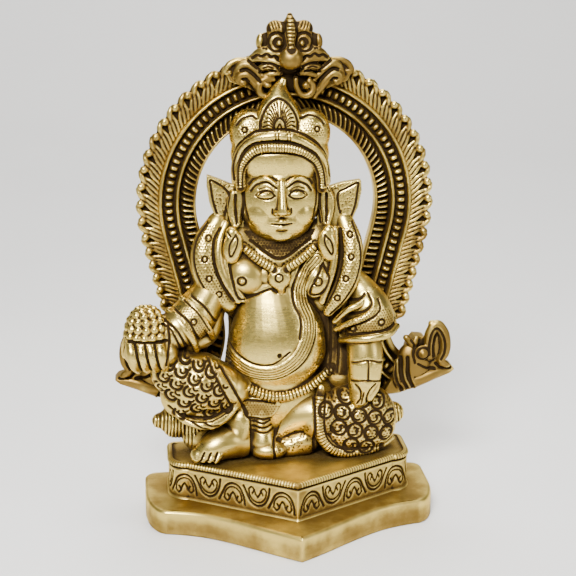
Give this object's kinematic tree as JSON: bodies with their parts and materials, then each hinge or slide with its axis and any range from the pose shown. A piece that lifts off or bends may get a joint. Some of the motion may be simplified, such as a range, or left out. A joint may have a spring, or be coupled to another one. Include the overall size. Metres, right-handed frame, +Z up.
{
  "type": "kubera statue",
  "caption": "Small cast brass statue of a seated, pot-bellied, crowned deity holding fruit, under a beaded flame arch with a lion mask, on a bracket-fronted plinth and slab.",
  "frame": {"origin": "centre of the bounding box at the flat underside of the slab", "axes": "+Z up, the front of the statue faces -Y, +X to the viewer's right"},
  "size_m": [0.1033, 0.0536, 0.1498],
  "materials": {
    "brass": "polished antique brass with dark brown patina in the hollows"
  },
  "bodies": {
    "root": {"statue": "brass"}
  },
  "joints": []
}
